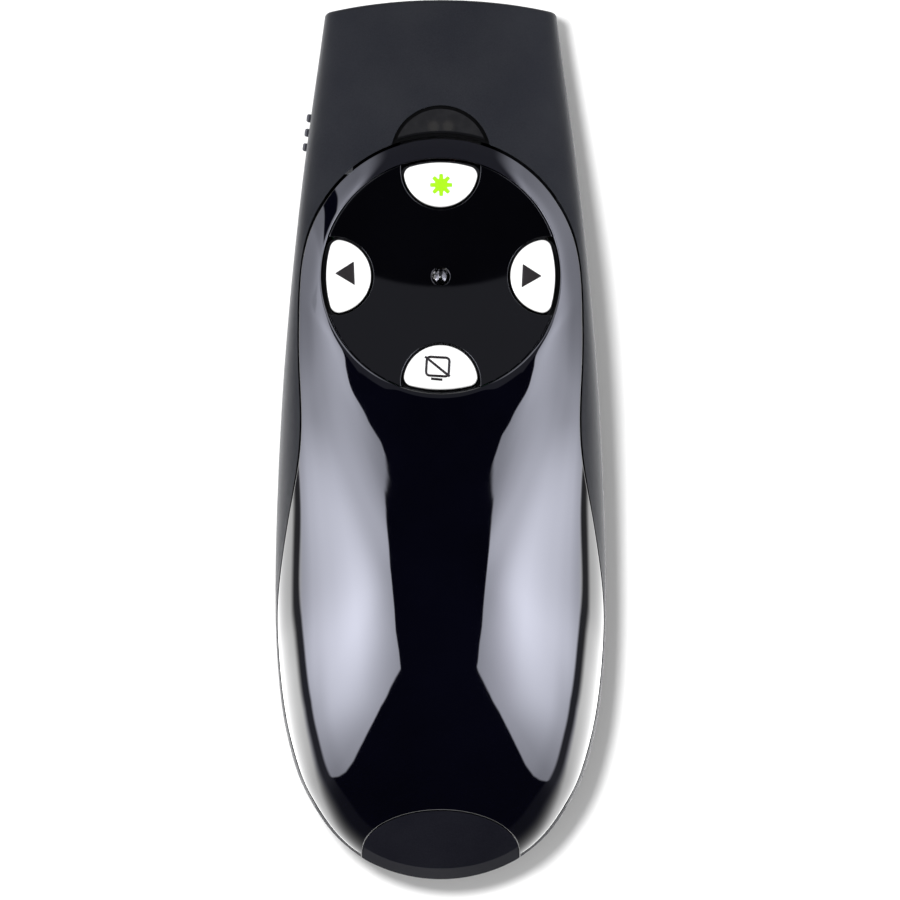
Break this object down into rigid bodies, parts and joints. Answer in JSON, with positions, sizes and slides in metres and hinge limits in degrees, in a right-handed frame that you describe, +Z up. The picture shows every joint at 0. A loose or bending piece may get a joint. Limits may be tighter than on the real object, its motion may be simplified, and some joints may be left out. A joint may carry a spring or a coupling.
{
  "type": "wireless presentation clicker",
  "caption": "Handheld presentation clicker: glossy teardrop shell, round panel with half-moon buttons, side power slider, battery door and a USB receiver stowed in the tail.",
  "frame": {"origin": "centre of the bounding box's bottom face; the flat underside is z = 0", "axes": "+Y towards the nose (laser end), +X to the right seen from above with the nose away from the viewer, +Z up"},
  "size_m": [0.0452, 0.12, 0.0274],
  "materials": {
    "case_soft": "soft-touch matte charcoal",
    "shell_gloss": "high-gloss black",
    "panel_gloss": "high-gloss black",
    "button_white": "semi-gloss white with printed symbols",
    "smoked_window": "smoked clear",
    "black_rubber": "matte",
    "clear_plastic": "clear light pipe",
    "led_package": "chip LED",
    "circuit_board": "solder mask",
    "black_plastic": "moulded",
    "switch_plunger": "moulded",
    "tin_can": "tinned sheet",
    "ceramic_chip": "ceramic",
    "slider_black": "moulded satin",
    "brass": "turned",
    "lens_glass": "polished",
    "diode_can": "plated can",
    "bezel_black": "gloss black",
    "red_insulation": "wire insulation",
    "black_insulation": "wire insulation",
    "battery_jacket": "plain printed jacket",
    "spring_nickel": "nickel plate",
    "usb_steel": "nickel-plated steel",
    "usb_white": "moulded",
    "contact_gold": "gold flash",
    "screw_steel": "zinc plate"
  },
  "bodies": {
    "housing": {"battery_contacts": "spring_nickel", "battery_left": "battery_jacket", "battery_right": "battery_jacket", "battery_springs": "spring_nickel", "button_switches": "black_plastic", "case_screws": "screw_steel", "control_panel": "panel_gloss", "crystal": "tin_can", "indicator_led": "led_package", "indicator_lens": "clear_plastic", "laser_barrel": "brass", "laser_bezel": "bezel_black", "laser_diode": "diode_can", "laser_driver_pcb": "circuit_board", "laser_lead_black": "black_insulation", "laser_lead_red": "red_insulation", "laser_lens": "lens_glass", "laser_window": "lens_glass", "led_board": "circuit_board", "lower_case": "case_soft", "main_pcb": "circuit_board", "panel_screws": "screw_steel", "pcb_capacitors": "ceramic_chip", "processor_chip": "black_plastic", "radio_chip": "black_plastic", "slide_switch": "tin_can", "status_leds": "led_package", "status_window": "smoked_window", "top_shell": "shell_gloss", "upper_case": "case_soft", "window_gasket": "black_rubber"},
    "laser_button": {"laser_button": "button_white", "laser_switch_plunger": "switch_plunger"},
    "previous_button": {"previous_button": "button_white", "previous_switch_plunger": "switch_plunger"},
    "next_button": {"next_button": "button_white", "next_switch_plunger": "switch_plunger"},
    "blank_button": {"blank_button": "button_white", "blank_switch_plunger": "switch_plunger"},
    "power_slider": {"power_slider": "slider_black", "slide_switch_lever": "black_plastic"},
    "battery_door": {"battery_door": "case_soft"},
    "receiver": {"receiver_cap": "case_soft", "receiver_body": "black_plastic", "usb_shell": "usb_steel", "usb_insulator": "usb_white", "usb_contacts": "contact_gold", "receiver_pcb": "circuit_board", "receiver_chip": "black_plastic"}
  },
  "joints": [
    {"name": "laser_button_press", "type": "slide", "parent": "housing", "child": "laser_button", "axis": [0, -0.1191, -0.9929], "range_m": [0, 0.0005], "stiffness_N_per_m": 2400, "springref_m": -0.0003},
    {"name": "previous_button_press", "type": "slide", "parent": "housing", "child": "previous_button", "axis": [0, -0.1191, -0.9929], "range_m": [0, 0.0005], "stiffness_N_per_m": 2400, "springref_m": -0.0003},
    {"name": "next_button_press", "type": "slide", "parent": "housing", "child": "next_button", "axis": [0, -0.1191, -0.9929], "range_m": [0, 0.0005], "stiffness_N_per_m": 2400, "springref_m": -0.0003},
    {"name": "blank_button_press", "type": "slide", "parent": "housing", "child": "blank_button", "axis": [0, -0.1191, -0.9929], "range_m": [0, 0.0005], "stiffness_N_per_m": 2400, "springref_m": -0.0003},
    {"name": "power_slider_slide", "type": "slide", "parent": "housing", "child": "power_slider", "axis": [-0.133, -0.9911, 0], "range_m": [0, 0.002]},
    {"name": "battery_door_slide", "type": "slide", "parent": "housing", "child": "battery_door", "axis": [0, -1, 0], "range_m": [0, 0.07]},
    {"name": "receiver_slide", "type": "slide", "parent": "housing", "child": "receiver", "axis": [0, -1, 0], "range_m": [0, 0.032]}
  ]
}
